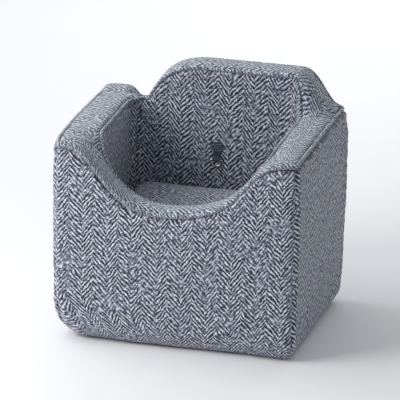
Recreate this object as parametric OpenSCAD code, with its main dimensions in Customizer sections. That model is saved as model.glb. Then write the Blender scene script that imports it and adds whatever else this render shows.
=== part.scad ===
// Box-shaped dog booster bed: a firm foam frame in a sewn herringbone cover, with a loose seat cushion.
// Origin: middle of the underside. +X to the bed's right seen from the front, -Y is the scooped front, +Z up.

/* [Overall] */
// Width over the cover
body_w = 510; // [430:2:640]
// Depth over the cover, front to back
body_d = 434; // [350:2:560]
// Height of the side rims above the floor
rim_h = 426; // [350:2:520]
// Thickness of a wall over its cover and lining
wall_t = 74; // [58:1:92]
// Radius of the upright outer corners
corner_r = 18; // [14:1:34]
// Radius of the bottom edges
bottom_r = 40; // [16:1:56]
// Plan radius of the well's inner corners
well_r = 45; // [24:1:60]
// Height of the foam platform under the cushion
seat_h = 200; // [120:2:220]

/* [Front scoop] */
// Depth of the scoop below the side rims
scoop_depth = 131; // [90:1:150]
// Level rim left of the scoop
scoop_left_gap = 18; // [10:1:40]
// Level rim right of the scoop
scoop_right_gap = 9; // [6:1:40]
// Lowest point of the scoop, from the middle
scoop_low_x = -29; // [-50:1:20]
// Reach of the left shoulder's curve
scoop_left_shoulder = 72; // [50:1:90]
// Reach of the floor's curve to the left
scoop_left_floor = 128; // [90:1:140]
// Reach of the floor's curve to the right
scoop_right_floor = 205; // [120:1:210]
// Reach of the right shoulder's curve
scoop_right_shoulder = 126; // [80:1:140]

/* [Back rest] */
// Height of the back rest above the side rims
hump_h = 76; // [40:1:110]
// Left corner post, from the left edge to the notch
post_w = 46; // [36:1:56]
// Depth of the notch beside the post
notch_depth = 20; // [8:1:30]
// Distance from the left edge to where the back rest starts to rise
hump_left_gap = 80; // [70:1:110]
// Length of the rise on the left
hump_left_run = 145; // [124:1:180]
// Reach of the curve at the foot of the rise
hump_left_foot = 43; // [20:1:70]
// Reach of the curve at the left shoulder
hump_left_shoulder = 124; // [60:1:130]
// Length of the fall on the right, which ends at the outer welt
hump_right_run = 86; // [76:1:126]
// Reach of the curve at the right shoulder
hump_right_shoulder = 41; // [20:1:60]
// Reach of the curve at the foot of the fall
hump_right_foot = 34; // [20:1:60]

/* [Cover] */
// Thickness of the quilted cover fabric
cover_t = 3; // [2:0.5:4]
// Thickness of the lining fabric
lining_t = 3; // [2:0.5:4]
// Diameter of the corded welts along the rim
welt_d = 8; // [6:0.5:10]

/* [Cushion] */
// Thickness of the seat cushion
cushion_h = 56; // [40:1:70]
// Gap between the cushion and the well at the front and sides
cushion_gap = 3; // [2:0.5:8]
// Gap between the cushion and the back of the well, where the tether ring hangs
cushion_back_gap = 9; // [8.5:0.5:16]
// Thickness of the cushion's cover
cushion_cover_t = 2; // [1.5:0.5:3]
// Diameter of the cushion's welt
cushion_welt_d = 5; // [4:0.5:6]

/* [Zip] */
// Length of the zip's chain
zip_len = 380; // [240:2:400]
// Height of the zip's centre line above the floor
zip_z = 66; // [60:1:90]
// Width of each tape
tape_w = 12; // [9:0.5:14]
// Thickness of each tape
tape_t = 0.7; // [0.5:0.1:0.8]
// Diameter of each coil
coil_d = 2.2; // [1.8:0.1:2.6]
// Slot between the two coils
coil_gap = 1.6; // [1.4:0.1:2]
// Length of the slider
slider_l = 13; // [10:0.5:16]
// Length of the pull
pull_l = 26; // [18:1:34]
// Running clearance of the slider and the pull
zip_clear = 0.3; // [0.2:0.05:0.4]

/* [Belt loop] */
// Width of the webbing
web_w = 50; // [38:1:60]
// Thickness of the webbing
web_t = 2; // [1.5:0.1:2.5]
// Height of the slot behind the webbing
loop_h = 110; // [60:1:130]
// Depth of the slot behind the webbing
loop_gap = 7; // [5:0.5:9]
// Length of each stitched end
tail_l = 30; // [20:1:40]
// Height of the loop's lower end above the floor
loop_z = 120; // [110:1:140]

/* [Tether ring] */
// Width of the tether ring inside
ring_w = 22; // [20:0.5:30]
// Diameter of the ring's wire
ring_wire_d = 3.5; // [3:0.1:4]
// Height of the ring's straight bar above the floor
ring_z = 304; // [296:1:320]
// Width of the tab that holds the ring
tab_w = 16; // [12:0.5:18]
// Length of the tab's stitched end
tab_l = 38; // [24:1:44]
// Clearance of the bar in the tab
ring_clear = 0.3; // [0.2:0.05:0.4]

/* [Hidden] */

$fn = 48;
curve_steps = 12;
welt_sides = 8;
arc_steps = 6;
over = 1;

tweed = [0.51, 0.53, 0.60];
tweed_rim = [0.60, 0.65, 0.71];
tweed_inside = [0.33, 0.36, 0.44];
foam = [0.90, 0.88, 0.80];
backing = [0.16, 0.16, 0.18];
webbing = [0.12, 0.13, 0.17];
steel = [0.72, 0.72, 0.74];

half_w = body_w / 2;
half_d = body_d / 2;
well_w = body_w - 2 * wall_t;
well_d = body_d - 2 * wall_t;
welt_r = welt_d / 2;
// The foam is cut a little deeper than the welt that lies in it
rebate = welt_d + 0.3;
// The scoop runs back over the well's rounded front corners
scoop_back_y = -(well_d / 2 - well_r);
// The back rest is as thick as the back wall
rest_front_y = well_d / 2;
top_h = rim_h + hump_h;

// ---- Outlines of the rim: lists of [x, height above the side rims] ----

function bezier(a, b, c, d, t) =
    pow(1 - t, 3) * a + 3 * pow(1 - t, 2) * t * b + 3 * (1 - t) * t * t * c + pow(t, 3) * d;

// A curve that leaves a and reaches b level
function s_curve(a, b, reach_a, reach_b) =
    [for (i = [0:curve_steps])
        bezier(a, [a.x + reach_a, a.y], [b.x - reach_b, b.y], b, i / curve_steps)];

scoop_left = s_curve(
    [-half_w + scoop_left_gap, 0], [scoop_low_x, -scoop_depth],
    scoop_left_shoulder, scoop_left_floor);
scoop_right = s_curve(
    [scoop_low_x, -scoop_depth], [half_w - scoop_right_gap, 0],
    scoop_right_floor, scoop_right_shoulder);
front_outline = concat(
    [[-half_w - over, 0]], scoop_left, [for (i = [1:curve_steps]) scoop_right[i]], [[half_w + over, 0]]);

notch_x = -half_w + hump_left_gap;
notch_fall = hump_left_gap - post_w;
hump_x = notch_x + hump_left_run;
fall_end = half_w - welt_d;
fall_x = fall_end - hump_right_run;
notch_left = s_curve([-half_w + post_w, 0], [notch_x, -notch_depth], notch_fall / 2, notch_fall / 2);
hump_left = s_curve([notch_x, -notch_depth], [hump_x, hump_h], hump_left_foot, hump_left_shoulder);
hump_right = s_curve([fall_x, hump_h], [fall_end, 0], hump_right_shoulder, hump_right_foot);
back_outline = concat(
    [[-half_w - over, 0]], notch_left, [for (i = [1:curve_steps]) hump_left[i]],
    hump_right, [[half_w + over, 0]]);

// The outline moved down by a distance measured square to it
function rim_normal(p, i) =
    let (before = p[max(i - 1, 0)], after = p[min(i + 1, len(p) - 1)], run = after - before)
    [-run.y, run.x] / norm(run);
function lowered(p, drop) =
    [for (i = [0:len(p) - 1])
        i == 0 || i == len(p) - 1 ? [p[i].x, p[i].y - drop] : p[i] - drop * rim_normal(p, i)];

// ---- Building blocks ----

module rounded_rect(w, d, r) {
    square([w - 2 * r, d], center = true);
    square([w, d - 2 * r], center = true);
    for (x = [-1, 1], y = [-1, 1])
        translate([x * (w / 2 - r), y * (d / 2 - r)]) circle(r);
}

// A side view with rounded bottom corners, inset all round
module bottom_rounded(half, inset) {
    translate([-(half - inset), bottom_r]) square([2 * (half - inset), top_h]);
    translate([-(half - bottom_r), inset]) square([2 * (half - bottom_r), bottom_r]);
    for (x = [-1, 1])
        translate([x * (half - bottom_r), bottom_r]) circle(bottom_r - inset);
}

// The whole box, inset all round, with no top
module envelope(inset) {
    intersection() {
        linear_extrude(top_h + over)
            rounded_rect(body_w - 2 * inset, body_d - 2 * inset, corner_r - inset);
        translate([0, half_d, 0]) rotate([90, 0, 0]) linear_extrude(body_d) bottom_rounded(half_w, inset);
        translate([-half_w, 0, 0]) rotate([90, 0, 90]) linear_extrude(body_w) bottom_rounded(half_d, inset);
    }
}

module well(grow, z0) {
    translate([0, 0, z0])
        linear_extrude(top_h + over - z0)
            rounded_rect(well_w + 2 * grow, well_d + 2 * grow, well_r + grow);
}

module under_outline(outline, drop, y0, y1) {
    line = lowered(outline, drop);
    edge = half_w + over;
    translate([0, y1, rim_h]) rotate([90, 0, 0])
        linear_extrude(y1 - y0) polygon(concat([[edge, -rim_h - over], [-edge, -rim_h - over]], line));
}

// Everything lower than the front and side rims, less a drop, as far back as y1
module under_sides(drop, y1) {
    under_outline(front_outline, drop, -half_d - over, scoop_back_y);
    translate([-half_w - over, scoop_back_y, -over])
        cube([body_w + 2 * over, y1 - scoop_back_y, rim_h - drop + over]);
}

// Everything lower than the whole rim surface, less a drop
module under_rim(drop) {
    under_sides(drop, rest_front_y);
    under_outline(back_outline, drop, rest_front_y, half_d + over);
}

// A quarter of the plan, cut along the diagonals through the corners: 0 front, 1 right, 2 back, 3 left
module quarter(side) {
    reach = min(half_w, half_d);
    w = half_w + over;
    d = half_d + over;
    front = [[-w, -d], [w, -d], [w - reach, -d + reach], [-w + reach, -d + reach]];
    left = [[-w, -d], [-w + reach, -d + reach], [-w + reach, d - reach], [-w, d]];
    outline = side == 0 || side == 2 ? front : left;
    turn = side == 1 || side == 2 ? 180 : 0;
    translate([0, 0, -over]) rotate([0, 0, turn]) linear_extrude(top_h + 2 * over) polygon(outline);
}

// The underside between the rounded edges
module base_zone(h) {
    w = body_w - 2 * bottom_r;
    d = body_d - 2 * bottom_r;
    translate([-w / 2, -d / 2, 0]) cube([w, d, h]);
}

// ---- Foam frame ----

inner_y = well_d / 2 + lining_t;
corner_x = well_w / 2 - well_r;

// What the rebates for the welts leave of a wall's top edges
module outside_outer_edge() {
    linear_extrude(top_h + over) difference() {
        square([body_w + over, body_d + over], center = true);
        rounded_rect(body_w - 2 * welt_d, body_d - 2 * welt_d, corner_r - welt_d);
    }
}

module foam_walls() {
    difference() {
        envelope(cover_t);
        well(lining_t, -over);
    }
}

module frame_front_wall() {
    color(foam) difference() {
        intersection() {
            foam_walls();
            translate([-half_w, -half_d, 0]) cube([body_w, half_d - inner_y, top_h]);
            under_rim(lining_t);
        }
        difference() {
            union() {
                outside_outer_edge();
                well(welt_d, seat_h);
            }
            under_rim(rebate);
        }
    }
}

module frame_back_wall() {
    color(foam) difference() {
        intersection() {
            foam_walls();
            translate([-half_w, inner_y, 0]) cube([body_w, half_d - inner_y, top_h]);
            under_rim(lining_t);
        }
        difference() {
            union() {
                outside_outer_edge();
                translate([-half_w, 0, 0]) cube([body_w, rest_front_y + welt_d, top_h + over]);
            }
            under_rim(rebate);
        }
    }
}

// A side wall reaches back under the lining on the face of the back rest
module foam_side(side) {
    color(foam) difference() {
        intersection() {
            foam_walls();
            translate([side > 0 ? corner_x : -half_w, -inner_y, 0]) cube([half_w - corner_x, 2 * inner_y, rim_h]);
            union() {
                under_sides(lining_t, rest_front_y);
                intersection() {
                    under_sides(rebate, inner_y + over);
                    under_outline(back_outline, rebate, 0, inner_y + over);
                }
            }
        }
        difference() {
            union() {
                outside_outer_edge();
                well(welt_d, seat_h);
            }
            under_sides(rebate, half_d);
        }
    }
}
module frame_left_wall() { foam_side(-1); }
module frame_right_wall() { foam_side(1); }
module frame_base_block() {
    color(foam) translate([0, 0, cover_t])
        linear_extrude(seat_h - cover_t)
            rounded_rect(well_w + 2 * lining_t, well_d + 2 * lining_t, well_r + lining_t);
}

// ---- Cover ----

module cover_skin(side) {
    color(tweed) intersection() {
        difference() {
            envelope(0);
            envelope(cover_t);
            translate([0, 0, -over]) base_zone(cover_t + 2 * over);
        }
        quarter(side);
    }
}

module cover_panel(side) {
    intersection() {
        cover_skin(side);
        under_rim(welt_d);
    }
}

// The left panel ends at one level, because the rim is flat all along it
module cover_left_panel() {
    intersection() {
        cover_skin(3);
        translate([-half_w - over, -half_d - over, -over])
            cube([body_w, body_d + 2 * over, rim_h - welt_d + over]);
    }
}

// The ring of cover on top of the walls, between the welts
module rim_ring() {
    linear_extrude(top_h + over) difference() {
        rounded_rect(body_w - 2 * welt_d, body_d - 2 * welt_d, corner_r - welt_d);
        rounded_rect(well_w + 2 * welt_d, well_d + 2 * welt_d, well_r + welt_d);
    }
}

module rim_band(side) {
    color(tweed_rim) intersection() {
        rim_ring();
        quarter(side);
        difference() {
            under_sides(0, rest_front_y);
            under_sides(lining_t, rest_front_y + over);
        }
    }
}

module lining_wall(side) {
    color(tweed_inside) intersection() {
        difference() {
            well(lining_t, seat_h);
            well(0, seat_h - over);
        }
        quarter(side);
        under_rim(welt_d);
    }
}

module zip_opening() {
    translate([-zip_len / 2 - 8, half_d - cover_t - over, zip_z - tape_w])
        cube([zip_len + 16, cover_t + 2 * over, 2 * tape_w]);
}

module cover_front_panel() { cover_panel(0); }
module cover_right_panel() { cover_panel(1); }
module cover_back_panel() {
    color(tweed) difference() {
        cover_panel(2);
        zip_opening();
    }
}
module rim_band_back() {
    color(tweed_rim) intersection() {
        linear_extrude(top_h + over)
            rounded_rect(body_w - 2 * welt_d, body_d - 2 * welt_d, corner_r - welt_d);
        translate([-half_w, rest_front_y + welt_d, 0]) cube([body_w, half_d, top_h + over]);
        difference() {
            under_rim(0);
            under_rim(lining_t);
        }
    }
}
// The lining runs on up the face of the back rest, above the side walls too
module lining_back() {
    lining_wall(2);
    color(tweed_inside) intersection() {
        translate([notch_x, rest_front_y, rim_h - welt_d]) cube([fall_end - notch_x, lining_t, top_h]);
        under_outline(back_outline, welt_d, rest_front_y, half_d);
    }
}
module cover_base_panel() { color(backing) base_zone(cover_t); }
module lining_floor() {
    color(tweed_inside) translate([0, 0, seat_h]) linear_extrude(lining_t)
        rounded_rect(well_w, well_d, well_r);
}

// ---- Welts ----

// A tube swept along points that never run straight up; its flats lie r from the middle
module tube(points, r) {
    last = len(points) - 1;
    corner = r / cos(180 / welt_sides);
    function heading(i) = points[min(i + 1, last)] - points[max(i - 1, 0)];
    function ring(i) =
        let (t = heading(i) / norm(heading(i)), s = cross(t, [0, 0, 1]) / norm(cross(t, [0, 0, 1])), u = cross(s, t))
        [for (k = [0:welt_sides - 1])
            let (turn = (k + 0.5) * 360 / welt_sides)
            points[i] + corner * (cos(turn) * s + sin(turn) * u)];
    vertices = [for (i = [0:last]) each ring(i)];
    sides = [for (i = [0:last - 1], k = [0:welt_sides - 1])
        let (a = i * welt_sides + k, b = i * welt_sides + (k + 1) % welt_sides)
        [a, b, b + welt_sides, a + welt_sides]];
    start = [for (k = [welt_sides - 1:-1:0]) k];
    end = [for (k = [0:welt_sides - 1]) last * welt_sides + k];
    polyhedron(vertices, concat(sides, [start, end]));
}

// Points round one end of the plan, from the left side to the right one, at the outline's height
function end_path(w, d, r, outline, front) =
    let (line = lowered(outline, welt_r), sy = front ? -1 : 1, x0 = w / 2 - r, y0 = d / 2 - r)
    [for (p = concat(
        [for (i = [0:arc_steps]) let (a = 90 * i / arc_steps) [-x0 - r * cos(a), sy * (y0 + r * sin(a))]],
        [for (q = line) if (abs(q.x) < x0 - 2) [q.x, sy * d / 2]],
        [for (i = [arc_steps:-1:0]) let (a = 90 * i / arc_steps) [x0 + r * cos(a), sy * (y0 + r * sin(a))]]))
        [p.x, p.y, rim_h + lookup(p.x, line)]];

module end_welt(w, d, r, outline, front) {
    color(tweed) tube(end_path(w, d, r, outline, front), welt_r);
}

module side_welt(x, y0, y1) {
    color(tweed) translate([x, y1, rim_h - welt_r]) rotate([90, 0, 0]) cylinder(h = y1 - y0, r = welt_r);
}

// The welt on a side wall's inner edge, which turns the well's back corner and stops at the back rest
module inner_side_welt(side) {
    x0 = inner_w / 2 - inner_r;
    y0 = inner_d / 2 - inner_r;
    turn = asin((well_r - welt_r) / inner_r);
    z = rim_h - welt_r;
    points = concat(
        [[side * inner_w / 2, scoop_back_y, z]],
        [for (i = [0:arc_steps])
            let (a = turn * i / arc_steps) [side * (x0 + inner_r * cos(a)), y0 + inner_r * sin(a), z]]);
    color(tweed) tube(points, welt_r);
}

outer_w = body_w - welt_d;
outer_d = body_d - welt_d;
outer_r = corner_r - welt_r;
inner_w = well_w + welt_d;
inner_d = well_d + welt_d;
inner_r = well_r + welt_r;

module outer_welt_front() { end_welt(outer_w, outer_d, outer_r, front_outline, true); }
module outer_welt_back() { end_welt(outer_w, outer_d, outer_r, back_outline, false); }
module outer_welt_left() { side_welt(-outer_w / 2, outer_r - outer_d / 2, outer_d / 2 - outer_r); }
module outer_welt_right() { side_welt(outer_w / 2, outer_r - outer_d / 2, outer_d / 2 - outer_r); }
module inner_welt_front() { end_welt(inner_w, inner_d, inner_r, front_outline, true); }
module inner_welt_left() { inner_side_welt(-1); }
module inner_welt_right() { inner_side_welt(1); }
// Straight across the bed along the front edge of the back rest
module inner_welt_back() {
    line = lowered(back_outline, welt_r);
    reach = half_w - welt_d;
    points = concat(
        [[-reach, inner_d / 2, rim_h - welt_r]],
        [for (q = line) if (abs(q.x) < reach - 2) [q.x, inner_d / 2, rim_h + q.y]],
        [[reach, inner_d / 2, rim_h + lookup(reach, line)]]);
    color(tweed) tube(points, welt_r);
}

// ---- Cushion ----

cushion_z = seat_h + lining_t + 0.3;
cushion_w = well_w - 2 * (cushion_gap + cushion_welt_d);
cushion_d = well_d - cushion_gap - cushion_back_gap - 2 * cushion_welt_d;
cushion_y = (cushion_gap - cushion_back_gap) / 2;
cushion_r = well_r - cushion_gap - cushion_welt_d;

module cushion_block(inset, z0, z1) {
    translate([0, cushion_y, cushion_z + z0]) linear_extrude(z1 - z0)
        rounded_rect(cushion_w - 2 * inset, cushion_d - 2 * inset, cushion_r - inset);
}
module cushion_fill() { color([0.95, 0.95, 0.93]) cushion_block(cushion_cover_t, cushion_cover_t, cushion_h - cushion_cover_t); }
module cushion_shell(z0, z1) {
    color(tweed_inside) difference() {
        cushion_block(0, z0, z1);
        cushion_block(cushion_cover_t, cushion_cover_t, cushion_h - cushion_cover_t);
    }
}
module cushion_bottom_cover() { cushion_shell(0, cushion_h / 2); }
module cushion_top_cover() { cushion_shell(cushion_h / 2, cushion_h); }
module cushion_welt() {
    r = cushion_welt_d / 2;
    x0 = cushion_w / 2 - cushion_r;
    y0 = cushion_d / 2 - cushion_r;
    color(tweed_inside) translate([0, cushion_y, cushion_z + cushion_h / 2]) {
        for (sx = [-1, 1])
            translate([sx * (cushion_w / 2 + r), y0, 0]) rotate([90, 0, 0]) cylinder(h = 2 * y0, r = r);
        for (sy = [-1, 1])
            translate([-x0, sy * (cushion_d / 2 + r), 0]) rotate([0, 90, 0]) cylinder(h = 2 * x0, r = r);
        for (k = [0:3])
            translate([(k == 0 || k == 3 ? 1 : -1) * x0, (k < 2 ? 1 : -1) * y0, 0])
                rotate([0, 0, 90 * k]) rotate_extrude(angle = 90) translate([cushion_r + r, 0]) circle(r);
    }
}

// ---- Zip in the back panel ----

tape_y = half_d - cover_t + 1.2;
coil_y = tape_y + tape_t + coil_d / 2;
coil_z = coil_gap / 2 + coil_d / 2;
plate_t = 1;
plate_w = 2 * (coil_gap / 2 + coil_d + zip_clear + 0.9);
slider_x = zip_len / 2 - slider_l;
plate_y = tape_y + tape_t + coil_d + zip_clear;
wing_t = 0.6;
cheek_h = 4.6;
pin_r = 0.9;
pin_y = plate_y + plate_t + 2.4;
eye_w = 4.6;

module zip_tape(up) {
    color(backing) translate([-zip_len / 2 - 8, tape_y, up ? zip_z + coil_gap / 2 : zip_z - tape_w])
        cube([zip_len + 16, tape_t, tape_w - coil_gap / 2]);
}
module zip_coil(up) {
    color([0.2, 0.22, 0.3]) translate([-zip_len / 2, coil_y, zip_z + (up ? 1 : -1) * coil_z])
        rotate([0, 90, 0]) cylinder(h = zip_len, r = coil_d / 2);
}
module zip_stop(x) {
    color(steel) translate([x, tape_y + tape_t, zip_z - coil_gap / 2 - coil_d])
        cube([3, coil_d, coil_gap + 2 * coil_d]);
}
module zip_tape_upper() { zip_tape(true); }
module zip_tape_lower() { zip_tape(false); }
module zip_coil_upper() { zip_coil(true); }
module zip_coil_lower() { zip_coil(false); }
module zip_closed_stop() { zip_stop(zip_len / 2); }
module zip_open_stop() { zip_stop(-zip_len / 2 - 3); }

// The slider's outer plate rides over the coils, a thin post joins it to the wing behind the tapes
module zip_slider() {
    flange_w = plate_w / 2 - coil_gap / 2 - coil_d - zip_clear;
    color(steel) translate([slider_x, 0, zip_z]) {
        translate([0, plate_y, -plate_w / 2]) cube([slider_l, plate_t, plate_w]);
        for (z = [-plate_w / 2, plate_w / 2 - flange_w])
            translate([0, tape_y + tape_t + zip_clear, z])
                cube([slider_l, plate_y - tape_y - tape_t - zip_clear, flange_w]);
        translate([slider_l / 2 - 2, tape_y - zip_clear - wing_t, -coil_gap / 2 + 0.4])
            cube([4, plate_y - tape_y + zip_clear + wing_t + 0.2, coil_gap - 0.8]);
        translate([1, tape_y - zip_clear - wing_t, -plate_w / 2]) cube([slider_l - 2, wing_t, plate_w]);
        for (z = [-eye_w / 2 - zip_clear - 1, eye_w / 2 + zip_clear])
            translate([slider_l / 2 - 2, plate_y + plate_t, z]) cube([4, cheek_h - plate_t, 1]);
        translate([slider_l / 2, pin_y, -eye_w / 2 - zip_clear - 1])
            cylinder(h = eye_w + 2 * zip_clear + 2, r = pin_r, $fn = 24);
    }
}

module zip_pull() {
    eye_r = pin_r + zip_clear + 0.9;
    color(steel) translate([slider_x + slider_l / 2, pin_y, zip_z]) difference() {
        union() {
            translate([0, 0, -eye_w / 2]) cylinder(h = eye_w, r = eye_r, $fn = 32);
            translate([-8, -0.7, -eye_w / 2]) cube([8, 1.4, eye_w]);
            translate([-pull_l, -0.7, -4]) cube([pull_l - 7, 1.4, 8]);
        }
        translate([0, 0, -eye_w / 2 - 1]) cylinder(h = eye_w + 2, r = pin_r + zip_clear, $fn = 24);
        translate([-pull_l + 4, 0, 0]) rotate([90, 0, 0]) cylinder(h = 4, r = 1.8, center = true, $fn = 24);
    }
}

// ---- Belt loop on the back ----

loop_top = loop_z + 2 * tail_l + loop_h;
loop_rise = 16;

module belt_loop() {
    z1 = loop_z + tail_l;
    z2 = loop_top - tail_l;
    color(webbing) translate([-web_w / 2, half_d, 0]) rotate([90, 0, 90]) linear_extrude(web_w) polygon([
        [0, loop_z], [web_t, loop_z], [web_t, z1], [loop_gap + web_t, z1 + loop_rise],
        [loop_gap + web_t, z2 - loop_rise], [web_t, z2], [web_t, loop_top], [0, loop_top],
        [0, z2 - web_t], [loop_gap, z2 - loop_rise - web_t / 2],
        [loop_gap, z1 + loop_rise + web_t / 2], [0, z1 + web_t]
    ]);
}
module belt_loop_patches() {
    color(webbing) for (z = [loop_z + 2, loop_top - tail_l + 2])
        translate([-web_w / 2 + 2, half_d + web_t, z]) cube([web_w - 4, 1.2, tail_l - 4]);
}

// ---- Tether ring on the back of the well ----

bar_r = ring_wire_d / 2;
tab_inner_r = bar_r + ring_clear;
tab_wall = 1.15;
tab_outer_r = tab_inner_r + tab_wall;
bar_y = well_d / 2 - tab_outer_r;
tab_t = 2 * tab_wall;

module tether_tab() {
    color(webbing) difference() {
        union() {
            translate([-tab_w / 2, bar_y, ring_z]) rotate([0, 90, 0]) cylinder(h = tab_w, r = tab_outer_r);
            translate([-tab_w / 2, well_d / 2 - tab_t, ring_z]) cube([tab_w, tab_t, tab_l]);
        }
        translate([-tab_w / 2 - 1, bar_y, ring_z]) rotate([0, 90, 0]) cylinder(h = tab_w + 2, r = tab_inner_r);
    }
}
module tether_tab_patch() {
    color(webbing) translate([-tab_w / 2 - 4, well_d / 2 - tab_t - 1, ring_z + tab_l - 20])
        cube([tab_w + 8, 1, 18]);
}
module tether_ring() {
    r = ring_w / 2 + bar_r;
    color(steel) translate([0, bar_y, ring_z]) {
        translate([-r, 0, 0]) rotate([0, 90, 0]) cylinder(h = 2 * r, r = bar_r);
        rotate([90, 0, 0]) rotate([0, 0, 180]) rotate_extrude(angle = 180) translate([r, 0]) circle(bar_r);
    }
}

// ---- Show one node or all of them ----

frame_base_block();
frame_front_wall();
frame_back_wall();
frame_left_wall();
frame_right_wall();
cover_front_panel();
cover_back_panel();
cover_left_panel();
cover_right_panel();
cover_base_panel();
rim_band(0);  // rim_band_front
rim_band(1);  // rim_band_right
rim_band_back();
rim_band(3);  // rim_band_left
outer_welt_front();
outer_welt_back();
outer_welt_left();
outer_welt_right();
inner_welt_front();
inner_welt_back();
inner_welt_left();
inner_welt_right();
lining_wall(0);  // lining_front
lining_wall(1);  // lining_right
lining_back();
lining_wall(3);  // lining_left
lining_floor();
cushion_fill();
cushion_top_cover();
cushion_bottom_cover();
cushion_welt();
zip_tape_upper();
zip_tape_lower();
zip_coil_upper();
zip_coil_lower();
zip_closed_stop();
zip_open_stop();
zip_slider();
zip_pull();
belt_loop();
belt_loop_patches();
tether_tab();
tether_tab_patch();
tether_ring();
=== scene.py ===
# %% [markdown]
# # A dog's booster bed, sewn over foam
# The bed is a box of firm foam in a herringbone cover, with a scoop in the front wall, a back rest,
# and a loose cushion in its well. The frame holds every size. This lesson dresses that frame in cloth.

# %% Load the frame
import math
import bmesh
import bpy
import numpy as np
from mathutils import Matrix, Vector


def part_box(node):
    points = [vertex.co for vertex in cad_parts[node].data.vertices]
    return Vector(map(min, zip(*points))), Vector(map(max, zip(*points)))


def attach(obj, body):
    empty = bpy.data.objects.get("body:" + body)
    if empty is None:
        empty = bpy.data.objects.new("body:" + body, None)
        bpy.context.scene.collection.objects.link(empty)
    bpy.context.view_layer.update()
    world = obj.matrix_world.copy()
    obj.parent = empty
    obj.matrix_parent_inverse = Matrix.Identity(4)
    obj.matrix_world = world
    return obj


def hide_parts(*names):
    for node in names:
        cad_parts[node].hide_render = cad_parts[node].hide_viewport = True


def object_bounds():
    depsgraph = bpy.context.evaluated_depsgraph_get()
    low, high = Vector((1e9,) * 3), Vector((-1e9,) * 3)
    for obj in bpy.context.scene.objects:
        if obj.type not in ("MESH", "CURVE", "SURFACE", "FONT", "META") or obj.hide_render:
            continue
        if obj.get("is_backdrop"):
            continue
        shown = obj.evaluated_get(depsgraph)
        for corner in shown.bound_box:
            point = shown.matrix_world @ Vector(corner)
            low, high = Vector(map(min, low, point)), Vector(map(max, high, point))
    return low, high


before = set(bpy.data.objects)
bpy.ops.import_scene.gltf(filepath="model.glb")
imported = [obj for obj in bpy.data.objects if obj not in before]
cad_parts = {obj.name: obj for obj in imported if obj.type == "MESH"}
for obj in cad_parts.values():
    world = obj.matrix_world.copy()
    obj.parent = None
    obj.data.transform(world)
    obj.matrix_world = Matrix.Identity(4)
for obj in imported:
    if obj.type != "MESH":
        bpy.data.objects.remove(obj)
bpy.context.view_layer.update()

# %% [markdown]
# ## The sizes that the cloth follows
# Cloth is cut to fit what it covers, so the outline of the box, its well and its seat come from the frame.
# The rim's curves are drawn again here as smooth curves, because sewn cloth shows no straight facets.

# %% Read the sizes off the frame
MM = 0.001
half_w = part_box("cover_right_panel")[1].x
half_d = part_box("cover_back_panel")[1].y
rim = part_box("rim_band_left")[1].z
rest_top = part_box("rim_band_back")[1].z
well_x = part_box("lining_floor")[1].x
well_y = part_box("lining_floor")[1].y
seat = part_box("lining_floor")[0].z
cloth_t = 3 * MM
scoop_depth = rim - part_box("rim_band_front")[0].z - cloth_t
corner_r = 18 * MM
well_r = 45 * MM
bottom_r = 46 * MM
print("half width", round(half_w, 3), "half depth", round(half_d, 3))
print("rim", round(rim, 3), "scoop", round(scoop_depth, 3))


# %% Draw the rim's two outlines
def level_curve(a, b, reach_a, reach_b, steps=60):
    """Points of a curve that leaves a and reaches b level."""
    t = np.linspace(0, 1, steps)[:, None]
    a, b = np.array(a), np.array(b)
    c, d = a + [reach_a, 0], b - [reach_b, 0]
    return (1 - t) ** 3 * a + 3 * (1 - t) ** 2 * t * c + 3 * (1 - t) * t ** 2 * d + t ** 3 * b


scoop_low = (-29 * MM, -scoop_depth)
scoop_line = np.vstack([
    level_curve((18 * MM - half_w, 0), scoop_low, 72 * MM, 128 * MM),
    level_curve(scoop_low, (half_w - 9 * MM, 0), 205 * MM, 126 * MM)[1:],
])
post_end = 46 * MM - half_w
notch = (80 * MM - half_w, -20 * MM)
rest_left = (notch[0] + 145 * MM, rest_top - rim)
rest_right = (half_w - 94 * MM, rest_top - rim)
rest_line = np.vstack([
    level_curve((post_end, 0), notch, 17 * MM, 17 * MM),
    level_curve(notch, rest_left, 43 * MM, 124 * MM)[1:],
    level_curve(rest_right, (half_w - 8 * MM, 0), 41 * MM, 34 * MM),
])


def ease(start, end, value):
    """0 before start, 1 after end, and a smooth rise between them."""
    t = np.clip((value - start) / (end - start), 0, 1)
    return t * t * (3 - 2 * t)


def rim_height(x, y):
    """Height of the padded rim over a point of the plan."""
    scoop = np.interp(x, scoop_line[:, 0], scoop_line[:, 1])
    rest = np.interp(x, rest_line[:, 0], rest_line[:, 1])
    in_scoop = 1 - ease(-well_y, well_r - well_y, y)
    on_rest = ease(well_y - 42 * MM, well_y + 2 * MM, y)
    in_notch = ease(well_y, well_y + 22 * MM, y)
    return rim + scoop * in_scoop + np.maximum(rest, 0) * on_rest + np.minimum(rest, 0) * in_notch


def left_bow(y):
    """How far the padded top of the left wall bows outward, most just behind its front corner."""
    t = (y + half_d) / (2 * half_d)
    return 8 * MM * ease(0, 0.16, t) * (1 - ease(0.4, 1, t))


print("rim over the scoop", round(float(rim_height(scoop_low[0], -half_d)), 3))
print("rim over the rest", round(float(rim_height(0, half_d)), 3))

# %% [markdown]
# ## From cloth coordinates to cloth
# A woven pattern is laid out on flat cloth, so each point of a cloth piece stores where it lay on the
# roll, across and along the weave, in metres. The pattern then bends with the cloth and stops at a seam.
# An unwrapped image could do the same, but a stored place needs no image and stays sharp close up.

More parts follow.
